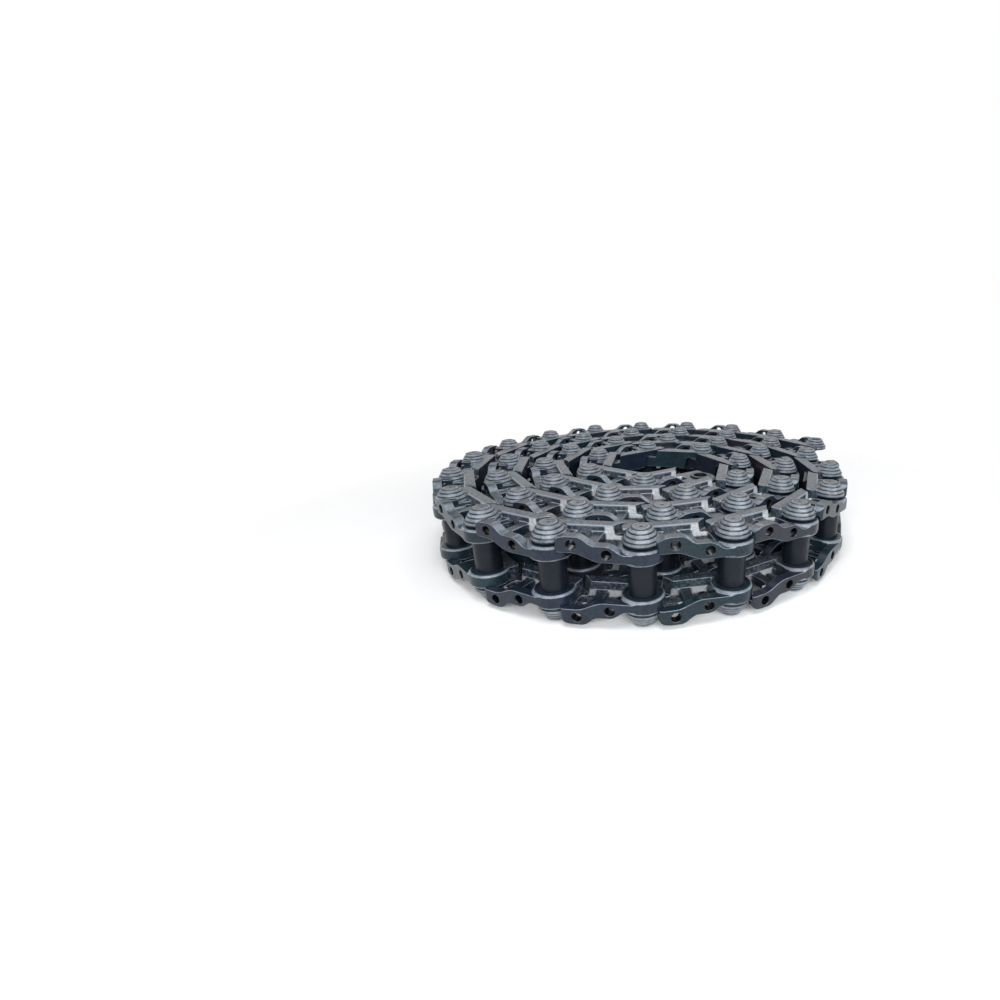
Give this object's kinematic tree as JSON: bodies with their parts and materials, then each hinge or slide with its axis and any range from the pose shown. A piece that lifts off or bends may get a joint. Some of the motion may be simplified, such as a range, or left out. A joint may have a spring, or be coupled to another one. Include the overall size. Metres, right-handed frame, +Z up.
{
  "type": "excavator track chain",
  "caption": "Coiled crawler excavator track chain: S-shaped link pairs with stepped pin bosses, hinged on pins in bushings, drilled for shoe bolts, lying on its side",
  "frame": {"origin": "On the floor, under the middle of the coil's box", "axes": "+Z runs up along the pins. +X is the way the shoe face of the outermost section looks, and that section runs along +Y from its pin end to its bushing end"},
  "size_m": [1.265, 1.2025, 0.218],
  "materials": {
    "link_steel": "dark blue-grey semi-gloss paint over forged steel",
    "bushing_steel": "dark oiled hardened steel",
    "pin_steel": "ground steel with a thin coat of paint on its ends",
    "seal": "matt black sealing ring"
  },
  "bodies": {
    "coil": {"coil_upper_links_outer": "link_steel", "coil_upper_links_inner": "link_steel", "coil_lower_links_outer": "link_steel", "coil_lower_links_inner": "link_steel", "coil_bushings": "bushing_steel", "coil_pins": "pin_steel", "coil_seals": "seal", "inner_end_upper_link": "link_steel", "inner_end_lower_link": "link_steel", "inner_end_bushing": "bushing_steel"},
    "section_01": {"upper_link_01": "link_steel", "lower_link_01": "link_steel", "bushing_01": "bushing_steel"},
    "section_02": {"upper_link_02": "link_steel", "lower_link_02": "link_steel", "bushing_02": "bushing_steel", "pin_02": "pin_steel", "seals_02": "seal"},
    "section_03": {"upper_link_03": "link_steel", "lower_link_03": "link_steel", "bushing_03": "bushing_steel", "pin_03": "pin_steel", "seals_03": "seal"},
    "section_04": {"upper_link_04": "link_steel", "lower_link_04": "link_steel", "bushing_04": "bushing_steel", "pin_04": "pin_steel", "seals_04": "seal"},
    "section_05": {"upper_link_05": "link_steel", "lower_link_05": "link_steel", "bushing_05": "bushing_steel", "pin_05": "pin_steel", "seals_05": "seal"},
    "section_06": {"upper_link_06": "link_steel", "lower_link_06": "link_steel", "bushing_06": "bushing_steel", "pin_06": "pin_steel", "seals_06": "seal"},
    "section_07": {"upper_link_07": "link_steel", "lower_link_07": "link_steel", "bushing_07": "bushing_steel", "pin_07": "pin_steel", "seals_07": "seal"},
    "section_08": {"upper_link_08": "link_steel", "lower_link_08": "link_steel", "bushing_08": "bushing_steel", "pin_08": "pin_steel", "seals_08": "seal"},
    "section_09": {"upper_link_09": "link_steel", "lower_link_09": "link_steel", "bushing_09": "bushing_steel", "pin_09": "pin_steel", "seals_09": "seal"},
    "section_10": {"upper_link_10": "link_steel", "lower_link_10": "link_steel", "bushing_10": "bushing_steel", "pin_10": "pin_steel", "seals_10": "seal"}
  },
  "joints": [
    {"name": "hinge_01", "type": "hinge", "parent": "section_02", "child": "section_01", "pos_m": [0.58654, 0.04707, 0.109], "axis": [0, 0, 1], "range_deg": [0, 30]},
    {"name": "hinge_02", "type": "hinge", "parent": "section_03", "child": "section_02", "pos_m": [0.52888, 0.22811, 0.109], "axis": [0, 0, 1], "range_deg": [0, 30]},
    {"name": "hinge_03", "type": "hinge", "parent": "section_04", "child": "section_03", "pos_m": [0.41853, 0.38278, 0.109], "axis": [0, 0, 1], "range_deg": [0, 30]},
    {"name": "hinge_04", "type": "hinge", "parent": "section_05", "child": "section_04", "pos_m": [0.26575, 0.49572, 0.109], "axis": [0, 0, 1], "range_deg": [0, 30]},
    {"name": "hinge_05", "type": "hinge", "parent": "section_06", "child": "section_05", "pos_m": [0.08532, 0.55527, 0.109], "axis": [0, 0, 1], "range_deg": [0, 30]},
    {"name": "hinge_06", "type": "hinge", "parent": "section_07", "child": "section_06", "pos_m": [-0.10468, 0.5548, 0.109], "axis": [0, 0, 1], "range_deg": [0, 30]},
    {"name": "hinge_07", "type": "hinge", "parent": "section_08", "child": "section_07", "pos_m": [-0.28461, 0.49376, 0.109], "axis": [0, 0, 1], "range_deg": [0, 30]},
    {"name": "hinge_08", "type": "hinge", "parent": "section_09", "child": "section_08", "pos_m": [-0.43526, 0.37798, 0.109], "axis": [0, 0, 1], "range_deg": [0, 30]},
    {"name": "hinge_09", "type": "hinge", "parent": "section_10", "child": "section_09", "pos_m": [-0.53994, 0.21942, 0.109], "axis": [0, 0, 1], "range_deg": [0, 30]},
    {"name": "hinge_10", "type": "hinge", "parent": "coil", "child": "section_10", "pos_m": [-0.58654, 0.03522, 0.109], "axis": [0, 0, 1], "range_deg": [0, 30]}
  ]
}
